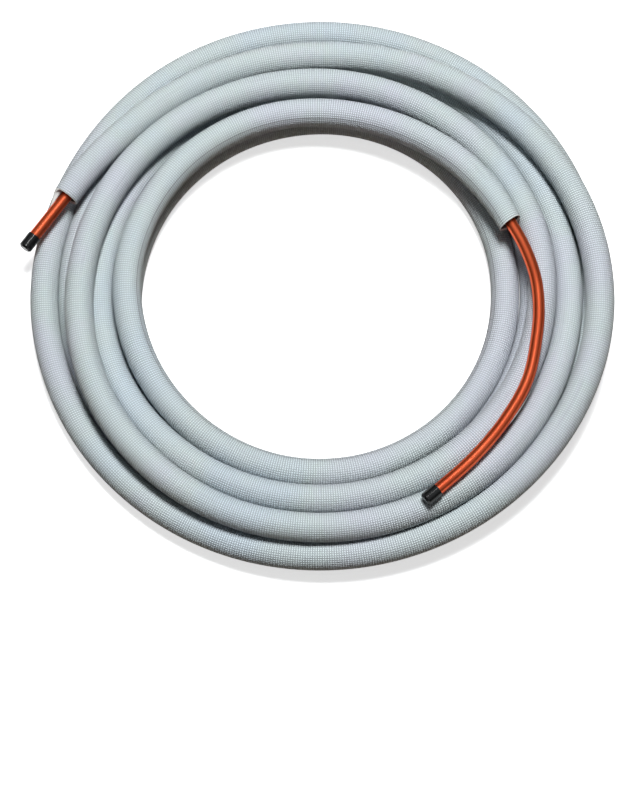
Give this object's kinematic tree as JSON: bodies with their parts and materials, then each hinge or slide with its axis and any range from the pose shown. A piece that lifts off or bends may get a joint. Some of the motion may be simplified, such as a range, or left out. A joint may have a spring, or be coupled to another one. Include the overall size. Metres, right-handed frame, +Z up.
{
  "type": "insulated copper tube coil",
  "caption": "Flat coil of soft copper tube in a pale foam sleeve, with both bare tube ends capped.",
  "frame": {"origin": "on the winding axis, at the floor that the coil lies on", "axes": "+Z up along the winding axis; the outer tube end is on the -X side and the inner tube end on the +X, -Y side"},
  "size_m": [0.647, 0.638, 0.0774],
  "materials": {
    "foam": "pale grey foam with a square embossed skin",
    "copper": "bright drawn copper",
    "cap": "glossy black vinyl"
  },
  "bodies": {
    "root": {"insulation_sleeve": "foam", "copper_tube": "copper", "end_cap_outer": "cap", "end_cap_inner": "cap"}
  },
  "joints": []
}
